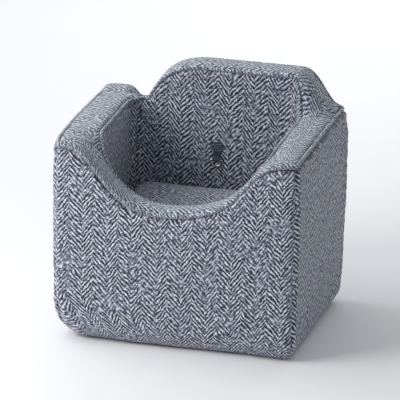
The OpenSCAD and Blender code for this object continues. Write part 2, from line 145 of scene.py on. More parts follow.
# %% Make meshes with stored cloth coordinates
def new_piece(name, verts, faces, cloth=None):
    mesh = bpy.data.meshes.new(name)
    mesh.from_pydata([tuple(v) for v in np.asarray(verts, dtype=float)], [], faces)
    if cloth is not None:
        place = mesh.attributes.new("cloth", "FLOAT_VECTOR", "POINT")
        flat = np.zeros((len(mesh.vertices), 3))
        flat[:, :2] = cloth
        place.data.foreach_set("vector", flat.ravel())
    mesh.shade_smooth()
    piece = bpy.data.objects.new(name, mesh)
    bpy.context.scene.collection.objects.link(piece)
    return piece


def corners(piece):
    """The places of a piece's vertices."""
    return np.array([v.co[:] for v in piece.data.vertices])


def move_corners(piece, places):
    for vertex, place in zip(piece.data.vertices, places):
        vertex.co = place


def copy_of(piece, name):
    twin = piece.copy()
    twin.data = piece.data.copy()
    twin.name = name
    bpy.context.scene.collection.objects.link(twin)
    return twin


def bake_modifiers(piece):
    """Keeps the shape that the modifiers give, and drops the modifiers."""
    shaped = piece.evaluated_get(bpy.context.evaluated_depsgraph_get())
    mesh = bpy.data.meshes.new_from_object(shaped)
    piece.modifiers.clear()
    piece.data = mesh


def spread(*values):
    """Arrays and numbers brought to one grid, as the grid's coordinates."""
    return np.stack(np.broadcast_arrays(*values), axis=-1)


def grid_faces(rows, cols, keep=None, flip=False):
    faces = []
    for i in range(rows - 1):
        for j in range(cols - 1):
            if keep is None or keep[i][j]:
                a = i * cols + j
                quad = (a, a + 1, a + cols + 1, a + cols)
                faces.append(quad[::-1] if flip else quad)
    return faces


def cloth_sheet(name, points, cloth, facing, thick=cloth_t, keep=None):
    """A closed sheet of cloth: points[row, column] is its show side, and facing says which way that looks."""
    rows, cols = points.shape[:2]
    i, j = rows // 2, cols // 2
    normal = np.cross(points[i, j + 1] - points[i, j], points[i + 1, j] - points[i, j])
    wanted = {
        "out": points[i, j] * [1, 1, 0],
        "in": points[i, j] * [-1, -1, 0],
        "up": np.array([0, 0, 1]),
        "down": np.array([0, 0, -1]),
    }[facing]
    faces = grid_faces(rows, cols, keep, flip=float(normal @ wanted) < 0)
    piece = new_piece(name, points.reshape(-1, 3), faces, cloth.reshape(-1, 2))
    shell = piece.modifiers.new("thickness", "SOLIDIFY")
    shell.thickness = thick
    shell.offset = -1
    shell.use_even_offset = False
    bake_modifiers(piece)
    return piece


def ripple(a, b, length, seed):
    """Soft unevenness from about -1 to 1: waves of many directions, the same on every run."""
    rng = np.random.default_rng(seed)
    total = 0
    for angle, phase, stretch in rng.uniform(size=(9, 3)):
        along = a * math.cos(angle * math.tau) + b * math.sin(angle * math.tau)
        total = total + np.sin(along * math.tau / (length * (0.6 + stretch)) + phase * math.tau)
    return total / 4


# %% [markdown]
# ## Tubes, straps and threads
# A welt, a wire, a zip's coil and a stitch are all one section carried along a path, so one sweep makes
# them all. The section's size may change along the path, which twists a welt or tapers a stitch.

# %% Sweep a section along a path
def step_lengths(path):
    return np.linalg.norm(np.diff(path, axis=0), axis=1)


def run_along(path):
    """Distance from the path's start to each of its points."""
    return np.concatenate([[0], np.cumsum(step_lengths(path))])


def tube_faces(rows, count):
    """Faces between rings of count points, and one face over each end."""
    faces = []
    for i in range(rows - 1):
        for k in range(count):
            a, b = i * count + k, i * count + (k + 1) % count
            faces.append((a, b, b + count, a + count))
    return faces + [tuple(range(count - 1, -1, -1)), tuple((rows - 1) * count + k for k in range(count))]


def path_frames(path):
    """A heading, a side and an up direction at each point, with no twist between points."""
    heading = np.gradient(path, axis=0)
    heading /= np.linalg.norm(heading, axis=1)[:, None]
    first = np.array([0, 0, 1.0]) if abs(heading[0][2]) < 0.9 else np.array([0, 1.0, 0])
    ups = []
    for h in heading:
        first = first - h * (first @ h)
        first = first / np.linalg.norm(first)
        ups.append(first)
    ups = np.array(ups)
    return heading, np.cross(heading, ups), ups


def swept(path, section, scale=None):
    """Vertices, faces and cloth coordinates of a section swept along a path, closed at both ends."""
    path = np.asarray(path, dtype=float)
    heading, side, up = path_frames(path)
    rows, count = len(path), len(section)
    scale = np.ones((rows, count)) if scale is None else scale
    around = section[None] * scale[:, :, None]
    verts = path[:, None] + side[:, None] * around[:, :, :1] + up[:, None] * around[:, :, 1:]
    cloth = spread(run_along(section)[None, :], run_along(path)[:, None])
    return verts.reshape(-1, 3), tube_faces(rows, count), cloth.reshape(-1, 2)


def round_section(radius, sides):
    turn = np.arange(sides) * math.tau / sides
    return radius * np.stack([np.cos(turn), np.sin(turn)], axis=1)


def strap_section(width, thick, steps=16):
    """A flat strap with rounded selvedges."""
    x = np.linspace(-width / 2, width / 2, steps)
    edge = thick / 2 * np.sqrt(np.clip(1 - (np.abs(x) / (width / 2)) ** 12, 0, 1))
    return np.vstack([np.stack([x, edge], axis=1), np.stack([x[::-1], -edge[::-1]], axis=1)[1:-1]])


def joined(name, parts):
    """One piece from several lists of vertices, faces and cloth coordinates."""
    verts, faces, cloth, start = [], [], [], 0
    for v, f, c in parts:
        verts.append(v)
        cloth.append(c)
        faces += [tuple(i + start for i in face) for face in f]
        start += len(v)
    return new_piece(name, np.vstack(verts), faces, np.vstack(cloth))


def resample(path, count):
    """The same path with evenly spaced points."""
    path = np.asarray(path, dtype=float)
    run = run_along(path)
    at = np.linspace(0, run[-1], count)
    return np.stack([np.interp(at, run, path[:, k]) for k in range(path.shape[1])], axis=1)


def softened(path, times):
    """Rounds the bends of an evenly spaced path."""
    for _ in range(times):
        path[1:-1] = (path[:-2] + 2 * path[1:-1] + path[2:]) / 4
    return path


def stitch_row(path, length, gap, radius, lift):
    """Threads along a path: each dips into the cloth at its ends and arches between them."""
    path = np.asarray(path, dtype=float)
    total = step_lengths(path).sum()
    fine = resample(path, max(3, int(total / 0.5 / MM)))
    step = total / (len(fine) - 1)
    parts = []
    for n in range(int(total / (length + gap))):
        start = n * (length + gap) / step
        at = np.clip(np.linspace(start, start + length / step, 5), 0, len(fine) - 1)
        thread = np.stack([np.interp(at, np.arange(len(fine)), fine[:, k]) for k in range(3)], axis=1)
        arch = np.array([-0.4, 0.7, 1.0, 0.7, -0.4])[:, None] * np.asarray(lift)[None]
        swell = np.array([0.5, 1.0, 1.05, 1.0, 0.5])[:, None] * np.ones(6)
        parts.append(swept(thread + arch, round_section(radius, 6), swell))
    return parts


# %% [markdown]
# ## Herringbone tweed
# The cover is a coarse herringbone: columns of slanted ribs that change their slant from column to
# column, woven light on navy. The ribs come from one wave along the cloth, shifted by a zigzag across it.
# A little noise bends the ribs, breaks them into flecks and fades whole patches, as brushed yarn does.

# %% A small language for shader nodes
def srgb(r, g, b):
    return tuple(((c / 255 + 0.055) / 1.055) ** 2.4 if c > 10 else c / 3295 for c in (r, g, b)) + (1,)


class Shader:
    """A material under construction: each method adds a node and returns its output."""

    def __init__(self, name, roughness, metallic=0.0):
        self.material = bpy.data.materials.new(name)
        self.material.use_nodes = True
        self.tree = self.material.node_tree
        self.surface = self.tree.nodes["Principled BSDF"]
        self.surface.inputs["Roughness"].default_value = roughness
        self.surface.inputs["Metallic"].default_value = metallic

    def add(self, kind, out=0, values=(), **settings):
        node = self.tree.nodes.new(kind)
        for key, value in settings.items():
            setattr(node, key, value)
        for key, value in dict(values).items():
            self.feed(value, node.inputs[key])
        return node.outputs[out]

    def feed(self, value, socket):
        if isinstance(value, bpy.types.NodeSocket):
            self.tree.links.new(value, socket)
        else:
            socket.default_value = value

    def math(self, operation, a, b=0.0, c=0.0):
        return self.add("ShaderNodeMath", operation=operation, values={0: a, 1: b, 2: c})

    def plus(self, total, *others):
        for other in others:
            total = self.math("ADD", total, other)
        return total

    def times(self, a, b):
        return self.math("MULTIPLY", a, b)

    def scaled(self, value, by, then):
        """value times by, plus then"""
        return self.math("MULTIPLY_ADD", value, by, then)

    def wave(self, value, length):
        return self.math("SINE", self.times(value, math.tau / length))

    def axes(self, place):
        return self.add("ShaderNodeSeparateXYZ", values={0: place}).node.outputs

    def noise(self, place, scale, detail=2.0, roughness=0.5):
        return self.add("ShaderNodeTexNoise", values={
            "Vector": place, "Scale": scale, "Detail": detail, "Roughness": roughness})

    def ramp(self, value, stops):
        out = self.add("ShaderNodeValToRGB", values={"Fac": value})
        ramp = out.node.color_ramp
        while len(ramp.elements) < len(stops):
            ramp.elements.new(0.5)
        for element, (at, colour) in zip(ramp.elements, stops):
            element.position = at
            element.color = colour
        return out

    def bump(self, height, distance, strength=1.0):
        values = {"Height": height, "Distance": distance, "Strength": strength}
        out = self.add("ShaderNodeBump", values=values)
        self.tree.links.new(out, self.surface.inputs["Normal"])

    def colour(self, value):
        self.feed(value, self.surface.inputs["Base Color"])

    def cloth_place(self):
        return self.add("ShaderNodeAttribute", out=1, attribute_name="cloth")

    def object_place(self):
        return self.add("ShaderNodeTexCoord", out=3)


# %% Weave the tweed
column_w = 26.2 * MM
rib_step = 10.2 * MM


def herringbone(name, ribs, column=column_w, step=rib_step, lean=2.95, shift=0.0, sheen=0.25, depth=1.15):
    """ribs are the yarn colours from the darkest gap to the lightest rib, and depth their contrast."""
    s = Shader(name, 0.92)
    place = s.cloth_place()
    bend = s.noise(place, 60.0, 2.5)
    elsewhere = s.add("ShaderNodeVectorMath", operation="ADD", values={0: place, 1: (3.1, 1.7, 0.4)})
    bend_2 = s.noise(elsewhere, 75.0, 2.5)
    axes = s.axes(place)
    across = s.plus(axes[0], s.scaled(bend, 9 * MM, shift - 4.5 * MM))
    along = s.plus(axes[1], s.scaled(bend_2, 11 * MM, -5.5 * MM))
    column_at = s.math("DIVIDE", across, column)
    # every second column is a little wider
    column_at = s.plus(column_at, s.times(s.math("COSINE", s.times(column_at, math.pi)), 0.06))
    zigzag = s.math("PINGPONG", column_at, 1.0)
    odd = s.math("FLOORED_MODULO", s.math("FLOOR", column_at), 2.0)
    rib_at = s.plus(s.math("DIVIDE", along, step), s.times(zigzag, lean), s.times(odd, 0.38))
    rib = s.wave(rib_at, 1.0)
    slub = s.noise(place, 125.0, 2.0, 0.55)
    fleck = s.noise(place, 330.0, 3.0, 0.65)
    yarn = s.noise(place, 1150.0, 2.0, 0.6)
    patch = s.noise(place, 19.0, 3.0, 0.6)
    strength = s.scaled(patch, -1.5 * depth, 1.09 * depth)
    value = s.plus(
        s.math("MULTIPLY_ADD", rib, strength, 0.5), s.scaled(slub, 2.0, -1.0), s.scaled(fleck, 1.7, -0.85),
        s.scaled(yarn, 0.8, -0.4), s.scaled(patch, 0.5, -0.25))
    s.colour(s.ramp(value, list(zip((0.0, 0.25, 0.5, 0.75, 1.0), ribs))))
    relief = s.plus(s.times(rib, 0.5), s.plus(fleck, s.times(yarn, 0.7)))
    s.bump(relief, 0.55 * MM, 0.7)
    s.surface.inputs["Sheen Weight"].default_value = sheen
    s.surface.inputs["Sheen Roughness"].default_value = 0.6
    return s.material


def yarns(*tones):
    return [srgb(*tone) for tone in tones]


navy_to_white = yarns((18, 22, 36), (46, 52, 70), (102, 107, 124), (166, 170, 185), (220, 223, 234))
# the next yarns are a lighter, bluer copy of the panel yarns, for the rim bands and all welts: painted light,
# standing in for the light that falls on the bed's top
lit_blue_to_white = yarns((30, 38, 52), (64, 74, 90), (116, 127, 141), (166, 175, 187), (212, 219, 227))
panel_tweed = herringbone("tweed panels", navy_to_white, shift=11 * MM)
rim_tweed = herringbone("tweed rim", lit_blue_to_white, column=25 * MM, step=11.4 * MM, lean=2.2, depth=1.35)
inside_tweed = herringbone("tweed lining", navy_to_white)
welt_tweed = herringbone("tweed welts", lit_blue_to_white, column=40 * MM, step=7.2 * MM, lean=5.2, sheen=0.3)
print("tweed: columns", column_w, "ribs", rib_step)


# %% [markdown]
# ## Foam, webbing, tape and metal
# The plain materials get the texture that their making leaves: open cells in cut foam, ribs across
# woven webbing, a fine twill in zip tape, dots on the non-slip base, and a faint grain on plated metal.

# %% Mix the other finishes
def two_tones(dark, light, start, end):
    """The stops of a ramp between two tones."""
    return [(start, srgb(*dark)), (end, srgb(*light))]


def grainy(name, roughness, scale, noise, tones, distance, strength, on_cloth=False):
    """A finish whose colour and relief both come from one noise."""
    s = Shader(name, roughness)
    grain = s.noise(s.cloth_place() if on_cloth else s.object_place(), scale, *noise)
    s.colour(s.ramp(grain, tones))
    s.bump(grain, distance, strength)
    return s.material


def foam_finish():
    s = Shader("cut foam", 0.95)
    place = s.object_place()
    cells = s.add("ShaderNodeTexVoronoi", values={"Vector": place, "Scale": 420.0})
    tones = zip((0.2, 0.6, 0.95), yarns((212, 201, 168), (232, 224, 196), (243, 238, 218)))
    s.colour(s.ramp(s.plus(s.times(cells, 0.5), s.noise(place, 9.0, 3.0)), list(tones)))
    s.bump(cells, 0.5 * MM, 0.6)
    return s.material


def base_finish():
    s = Shader("non-slip base cloth", 0.85)
    place = s.object_place()
    axes = s.axes(place)
    weave = s.times(s.wave(axes[0], 1.1 * MM), s.wave(axes[1], 1.1 * MM))
    value = s.plus(s.times(weave, 0.18), s.noise(place, 30.0, 4.0))
    s.colour(s.ramp(value, two_tones((24, 25, 30), (58, 60, 68), 0.2, 0.8)))
    s.bump(value, 0.25 * MM, 0.8)
    return s.material


def webbing_finish(name, dark, light, rib=1.7 * MM):
    """Ribs across the strap, and a finer weave along it."""
    s = Shader(name, 0.72)
    place = s.cloth_place()
    axes = s.axes(place)
    ribs, warp = s.wave(axes[1], rib), s.wave(axes[0], 1.9 * MM)
    value = s.plus(s.scaled(ribs, 0.22, 0.1), s.times(warp, 0.12), s.noise(place, 900.0, 3.0, 0.6))
    s.colour(s.ramp(value, two_tones(dark, light, 0.2, 0.95)))
    s.bump(value, 0.4 * MM, 0.8)
    s.surface.inputs["Sheen Weight"].default_value = 0.15
    return s.material


def thread_finish(name, dark, light):
    """Two plies, twisted into slanting stripes."""
    s = Shader(name, 0.6)
    axes = s.axes(s.cloth_place())
    ply = s.math("SINE", s.plus(s.times(axes[1], 5200.0), s.times(axes[0], 2600.0)))
    s.colour(s.ramp(s.scaled(ply, 0.5, 0.5), two_tones(dark, light, 0.0, 1.0)))
    s.bump(ply, 0.08 * MM, 0.7)
    return s.material


def metal_finish(name, dark, light, roughness):
    s = Shader(name, roughness, metallic=1.0)
    place = s.object_place()
    grain = s.noise(place, 700.0, 4.0, 0.6)
    wear = s.noise(place, 90.0, 3.0)
    s.colour(s.ramp(s.plus(s.times(grain, 0.4), s.times(wear, 0.6)), two_tones(dark, light, 0.3, 0.75)))
    s.feed(s.scaled(wear, 0.18, roughness - 0.09), s.surface.inputs["Roughness"])
    s.bump(grain, 0.03 * MM, 0.6)
    return s.material


cut_foam = foam_finish()
base_cloth = base_finish()
loose_fibre = grainy("fibre fill", 0.98, 160.0, (6.0, 0.75),
                     two_tones((214, 214, 208), (244, 244, 240), 0.25, 0.7), 1.2 * MM, 0.7)
grip_rubber = grainy("grip dots", 0.55, 240.0, (3.0,),
                     two_tones((20, 21, 25), (46, 47, 54), 0.3, 0.75), 0.15 * MM, 0.5)
coil_nylon = grainy("zip coil nylon", 0.38, 500.0, (2.0,),
                    two_tones((38, 42, 58), (70, 76, 98), 0.3, 0.75), 0.04 * MM, 0.4, on_cloth=True)
navy_webbing = webbing_finish("navy webbing", (20, 23, 34), (66, 72, 92))
tape_cloth = webbing_finish("zip tape", (26, 29, 42), (78, 84, 106), rib=0.9 * MM)
navy_thread = thread_finish("navy thread", (30, 34, 50), (86, 92, 116))
pale_thread = thread_finish("pale thread", (150, 156, 172), (222, 226, 236))
zip_metal = metal_finish("zip metal", (150, 150, 154), (206, 207, 210), 0.32)
ring_steel = metal_finish("plated steel", (172, 174, 178), (222, 223, 226), 0.24)
print("finishes:", len(bpy.data.materials))


# %% Dress a piece and put it on its body
def dress(piece, material, body="root", replaces=()):
    piece.data.materials.clear()
    piece.data.materials.append(material)
    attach(piece, body)
    if replaces:
        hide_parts(*replaces)
    return piece


def finish_node(name, material, bevel=None):
    """Keeps a piece of the frame as it is, with a finish and broken edges."""
    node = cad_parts[name]
    node.data.materials.clear()
    node.data.materials.append(material)
    if bevel:
        edge = node.modifiers.new("broken edges", "BEVEL")
        edge.width = bevel
        edge.segments = 2
        edge.limit_method = "ANGLE"
        edge.angle_limit = math.radians(40)


def sew(name, points, cloth, facing, thick, material, node, keep=None):
    """Makes a sheet, dresses it as the frame's node, and hides that node."""
    piece = cloth_sheet(name, points, cloth, facing, thick, keep)
    dress(piece, material, replaces=[node])


# %% [markdown]
# ## The plan of the box
# Each side of the box runs from the middle of one corner to the middle of the next, where the corner
# seams are. Every layer of a wall, from the foam to the cover, uses this one run with its own inset.

# %% Walk along one side of a rounded box
straight_share = 0.86
sides = ("front", "right", "back", "left")


def turn_to(side, along, out):
    """From along the side and out from the middle to the plan's x and y."""
    return {
        "front": (along, -out), "right": (out, along), "back": (-along, out), "left": (-out, -along),
    }[side]


def side_run(side, s, half_x, half_y, radius):
    """Plan points and outward normals for s from -1 to 1, which are the middles of the two corners."""
    along_half, out_half = (half_x, half_y) if side in ("front", "back") else (half_y, half_x)
    turn = np.clip((np.abs(s) - straight_share) / (1 - straight_share), 0, 1) * math.pi / 4
    straight = (along_half - radius) * np.clip(np.abs(s) / straight_share, 0, 1)
    along = np.sign(s) * (straight + radius * np.sin(turn))
    out = out_half - radius + radius * np.cos(turn)
    x, y = turn_to(side, along, out)
    nx, ny = turn_to(side, np.sign(s) * np.sin(turn), np.cos(turn))
    return x, y, nx, ny


def columns(count, corner_count=9):
    """Values of s, closer together round the corners."""
    half = np.concatenate([
        np.linspace(0, straight_share, count // 2, endpoint=False),
        np.linspace(straight_share, 1, corner_count),
    ])
    return np.concatenate([-half[:0:-1], half])


def run_length(x, y):
    run = np.concatenate([[0], np.cumsum(np.hypot(np.diff(x), np.diff(y)))])
    return run - run[-1] / 2


# %% [markdown]
# ## The side panels
# Each panel is one flat piece of tweed pulled over the foam, turned in at the corner seams and under
# the base. It is modelled as a grid from the base up to the rim's seam, and then it is pushed about
# as cloth is: it swells between the seams, sinks into them, puckers beside them and creases low down.

# %% Shape the panels
stand = (0.0, 0.12, 0.4, 0.66, 0.86, 0.96, 1.0)
stand_out = {
    "front": (-1, 0, 1.5, 2.5, 3.0, 1.0, 0), "left": (-4, -2, 1.5, 4.0, 6.0, 4.0, 0),
    "right": (0, 1, 3.5, 5.5, 6.4, 3.0, 0), "back": (1.5, 1.8, 1.0, 0.8, 1.5, 0.6, 0),
}
corner_full = (0.5, 3.0, 5.0, 5.5, 7.5, 4.0, 0)
creases = {
    # each crease: start and end along the cloth and up it, depth, width, in millimetres
    "front": [(150, -2, 232, 34, 4.5, 7), (96, 20, 176, 96, 2.6, 12), (-205, 2, -120, 24, 3.0, 11),
              (140, 357, 196, 402, 2.6, 4), (-60, 8, 30, 16, 2.0, 12), (-236, 40, -222, 130, 2.0, 9)],
    "right": [(-196, 30, -120, 90, 3.5, 11), (120, 10, 190, 70, 4.0, 10), (-60, 250, 90, 300, 1.6, 22),
              (130, 330, 196, 384, 2.5, 10)],
    "left": [(-180, 20, -90, 70, 3.5, 11), (60, 12, 170, 46, 3.0, 11), (20, 260, 150, 220, 1.6, 20)],
    "back": [(-214, 8, -150, 40, 2.5, 10), (150, 6, 216, 44, 3.0, 10), (-230, 250, -120, 330, 1.8, 14)],
}
groove = 12 * MM
allowance = 5 * MM


def crease_depth(a, b, lines):
    """How far the cloth sinks along each crease, with a soft roll beside it."""
    total = 0
    for x0, y0, x1, y1, depth, width in lines:
        run = np.array([x1 - x0, y1 - y0]) * MM
        length = np.hypot(*run)
        u = ((a - x0 * MM) * run[0] + (b - y0 * MM) * run[1]) / length
        v = ((b - y0 * MM) * run[0] - (a - x0 * MM) * run[1]) / length
        fade = ease(-0.2 * length, 0.3 * length, u) * (1 - ease(0.7 * length, 1.2 * length, u))
        v = v + 0.12 * length * np.sin(u / length * math.pi)
        sink = np.exp(-(v / (width * MM)) ** 2) - 0.7 * np.exp(-((v - 1.7 * width * MM) / (width * MM)) ** 2)
        total = total - depth * MM * sink * fade
    return total


def swell(side, s, z):
    """How far the cover stands out from the box: at a corner seam two sides agree on their mean."""
    leans = {name: np.interp(z / rim, stand, stand_out[name]) * MM for name in sides}
    turn = sides.index(side)
    beside = np.where(s > 0, leans[sides[(turn + 1) % 4]], leans[sides[turn - 1]])
    lean = leans[side] + (beside - leans[side]) * 0.5 * ease(0.3, 1.0, np.abs(s))
    if side in ("right", "back"):
        full = np.interp(z / rim, stand, corner_full) * MM
        lean = lean + full * ease(0.7, 1.0, s if side == "right" else -s)
    belly = {"front": 1.5, "right": 4.0, "left": 2.5, "back": 0.3}[side] * MM
    return lean + belly * (1 - s ** 4) * np.sin(np.clip(z / rim, 0, 1) * math.pi)


def panel_points(side, cols=84, rows=64, inset=0.0, detail=True):
    s = columns(cols)[None, :]
    x, y, _, _ = side_run(side, s, half_w, half_d, corner_r)
    a = run_length(x[0], y[0])[None, :]
    cols_all = a.shape[1]
    seam_z = rim_height(x, y) - groove - inset
    turn = np.linspace(0, math.pi / 2, 9)[:, None]
    low_r = np.interp(x / half_w, (-1, -0.3, 0.6, 1), (60 * MM, bottom_r, bottom_r, 34 * MM))
    low_inset = low_r * (1 - np.sin(turn)) + inset
    low_z = low_r * (1 - np.cos(turn)) + inset * np.cos(turn)
    tuck = [(14, 0), (8, 1.2), (4, 1.2), (1.5, -0.8), (0, -3.0), (-0.8, -5.6), (-3.5, -9.0), (-5.0, -12.0)]
    tuck = tuck if detail else [(6, 0)]
    climb = np.linspace(0, 1, rows)[1:-1, None]
    inset_rows = [low_r + 6 * MM, low_inset, np.full((rows - 2, cols_all), inset)]
    z_rows = [np.full_like(a, 3.4 * MM), low_z, low_r + climb * (seam_z - tuck[0][0] * MM - low_r)]
    for down, out in tuck:
        inset_rows.append(np.full((1, cols_all), inset - out * MM))
        z_rows.append(seam_z - down * MM)
    inset_all, z = np.vstack(inset_rows), np.vstack(z_rows)
    if side == "back" and detail:
        z = rows_to_slot(z, x, 9, len(z) - len(tuck))
    soft_r = np.where(x < 0, 66 * MM, 24 * MM)
    soft_corner = (soft_r - corner_r) * (1 - ease(0, 95 * MM, z.mean(axis=1)[:, None]))
    radius = np.maximum(corner_r + soft_corner - inset_all, 5 * MM)
    x, y, nx, ny = side_run(side, s, half_w - inset_all, half_d - inset_all, radius)
    b = np.where(z < low_r, low_r - (low_r - z) * 1.35, z)
    out = swell(side, s, z)
    if side == "left":
        out = out + left_bow(y) * ease(0.45 * rim, 0.93 * rim, z)
    if detail:
        to_top = seam_z - z
        to_corner = (a[0, -1] - np.abs(a)) + 0 * z
        out = out + 0.9 * MM * ripple(a, b, 90 * MM, sides.index(side) + 3)
        out = out + 0.35 * MM * ripple(a, b, 34 * MM, sides.index(side) + 13)
        out = out + crease_depth(a, b, creases[side]) * ease(0, 30 * MM, to_corner)
        out = out - 1.7 * MM * np.exp(-(to_corner / (3.2 * MM)) ** 2) * ease(20 * MM, 70 * MM, z)
        pucker = np.sin(z * math.tau / (21 * MM) + 2.5 * np.sin(z * 31)) * np.exp(-to_corner / (14 * MM))
        gather = np.sin(a * math.tau / (17 * MM) + 3 * np.sin(a * 27)) * np.exp(-np.abs(to_top) / (13 * MM))
        out = out + 0.6 * MM * pucker * ease(4 * MM, 9 * MM, to_corner)
        out = out + 0.6 * MM * gather * ease(2 * MM, 6 * MM, to_top)
    points = np.stack([x + nx * out, y + ny * out, z], axis=-1)
    cloth = spread(a, b)
    if detail:
        # the seam allowance turns square into the foam at both corner seams
        tilt = np.concatenate([[0], turn[:, 0], np.full(len(z) - 10, math.pi / 2)])
        for end in (0, -1):
            into = np.stack([-nx[0, end] * np.sin(tilt), -ny[0, end] * np.sin(tilt), np.cos(tilt)], axis=1)
            at = 0 if end == 0 else points.shape[1]
            flat = cloth[:, end] + [-allowance if end == 0 else allowance, 0]
            points = np.insert(points, at, points[:, end] + allowance * into, axis=1)
            cloth = np.insert(cloth, at, flat, axis=1)
    return points, cloth


# %% [markdown]
# The back panel has a slot for the zip, so two rows of its grid are slid onto the slot's edges, and
# the cells between them are left out. The thickness then gives the slot a turned edge of its own.

# %% Sew the four panels
slot_lo, slot_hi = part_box("zip_coil_lower")[0].z - 1.2 * MM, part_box("zip_coil_upper")[1].z + 1.2 * MM
slot_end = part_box("zip_open_stop")[0].x - 2 * MM


def rows_to_slot(z, x, first, last):
    """Slides the rows between first and last, so that two of them run along the slot's edges."""
    low = int(np.argmin(np.abs(z[:, z.shape[1] // 2] - slot_lo)))
    slid = z.copy()
    for col in range(z.shape[1]):
        heights = (z[first, col], slot_lo, slot_hi, z[last, col])
        slid[first:last, col] = np.interp(np.arange(first, last), (first, low, low + 1, last), heights)
    return z + (slid - z) * (1 - ease(8 * MM - slot_end, half_w - 14 * MM, np.abs(x)))


def cut_slot(points):
    """Says which cells stay round the slot, and sinks the slot's edges."""
    low = int(np.argmin(np.abs(points[:, points.shape[1] // 2, 2] - slot_lo)))
    first, last = sorted(int(np.argmin(np.abs(points[low, :, 0] - end))) for end in (slot_end, -slot_end))
    keep = np.ones((points.shape[0] - 1, points.shape[1] - 1), dtype=bool)
    keep[low, first:last] = False
    points[low:low + 2, first:last + 1, 1] -= 1.0 * MM
    return keep


for side in sides:
    points, cloth = panel_points(side)
    keep = cut_slot(points) if side == "back" else None
    sew(side + "_panel_cloth", points, cloth, "out", 2.6 * MM, panel_tweed,
        "cover_" + side + "_panel", keep)

# %% [markdown]
# ## The foam inside
# Four firm foam walls stand round a foam block. The walls are lofted from one closed section per
# column, a little inside the cover, because a cover of this kind has a thin wadding on its back.

# %% Loft the foam walls
def loft(name, loops):
    """A closed solid through closed loops of equal length."""
    piece = new_piece(name, loops.reshape(-1, 3), tube_faces(*loops.shape[:2]))
    tidy = bmesh.new()
    tidy.from_mesh(piece.data)
    bmesh.ops.recalc_face_normals(tidy, faces=tidy.faces)
    tidy.to_mesh(piece.data)
    tidy.free()
    return piece


def foam_wall(side):
    under = 6.5 * MM
    outer, _ = panel_points(side, cols=40, rows=12, inset=under, detail=False)
    outer = outer[1:]
    s = columns(40)[None, :]
    x, y, _, _ = side_run(side, s, well_x + under, well_y + under, well_r + under)
    inner_top = np.stack([x[0], y[0], rim_height(x[0], y[0]) - 18 * MM], axis=-1)
    top = []
    for share in np.linspace(0.1, 0.9, 7):
        p = outer[-1] * (1 - share) + inner_top * share
        p[:, 2] = rim_height(p[:, 0], p[:, 1]) - 9 * MM
        top.append(p)
    inner = []
    for share in np.linspace(1, 0, 7):
        p = inner_top.copy()
        p[:, 2] = 4 * MM + share * (p[:, 2] - 4 * MM)
        inner.append(p)
    return np.concatenate([outer, np.array(top), np.array(inner)]).transpose(1, 0, 2)


for side in sides:
    wall = loft("foam_" + side, foam_wall(side))
    dress(wall, cut_foam, replaces=["frame_" + side + "_wall"])
finish_node("frame_base_block", cut_foam)
print("foam walls", len(sides), "round the base block")

# %% [markdown]
# ## The rim
# A band of tweed, cut with its columns along the rim, covers the top of each wall. It is a height
# over the plan: level on the sides, down through the scoop, and up over the back rest, with its two
# edges tucked down beside the welts.

# %% Lay the rim bands
band_inset = 7 * MM
band_share = np.array([0, 0.035, 0.09, 0.2, 0.32, 0.44, 0.56, 0.68, 0.8, 0.91, 0.965, 1])
band_tuck = np.array([5.5, 1.6, 0.2, 0, 0, 0, 0, 0, 0, 0.2, 1.6, 5.5]) * MM
rest_edge = well_y + 3 * MM


def arc(cx, cy, radius, start, end, count=16):
    turn = np.radians(np.linspace(start, end, count))
    return np.stack([cx + radius * np.cos(turn), cy + radius * np.sin(turn)], axis=1)


def front_band_edges(count):
    s = np.linspace(-1, 1, count)
    ox, oy, _, _ = side_run("front", s, half_w - band_inset, half_d - band_inset, corner_r - band_inset)
    ix, iy, _, _ = side_run("front", s, well_x + band_inset, well_y + band_inset, well_r + band_inset)
    return np.stack([ox, oy], axis=1), np.stack([ix, iy], axis=1)


def side_band_edges(count, mirror):
    """From the front corner's seam back to the foot of the back rest."""
    r_out, r_in = corner_r - band_inset, well_r + band_inset
    top = math.degrees(math.asin((rest_edge - well_y + well_r) / r_in))
    outer = np.vstack([
        arc(half_w - corner_r, corner_r - half_d, r_out, -45, 0),
        [[half_w - band_inset, rest_edge]],
    ])
    inner = np.vstack([
        arc(well_x - well_r, well_r - well_y, r_in, -45, 0),
        arc(well_x - well_r, well_y - well_r, r_in, 0, top),
    ])
    flip = np.array([mirror, 1])
    return resample(outer, count) * flip, resample(inner, count) * flip


def back_band_edges(count):
    x = np.linspace(band_inset - half_w, half_w - band_inset, count)
    r = corner_r - band_inset
    past = np.clip(np.abs(x) - (half_w - corner_r), 0, r)
    outer_y = half_d - band_inset - (r - np.sqrt(r * r - past * past))
    return np.stack([x, outer_y], axis=1), np.stack([x, np.full_like(x, rest_edge)], axis=1)


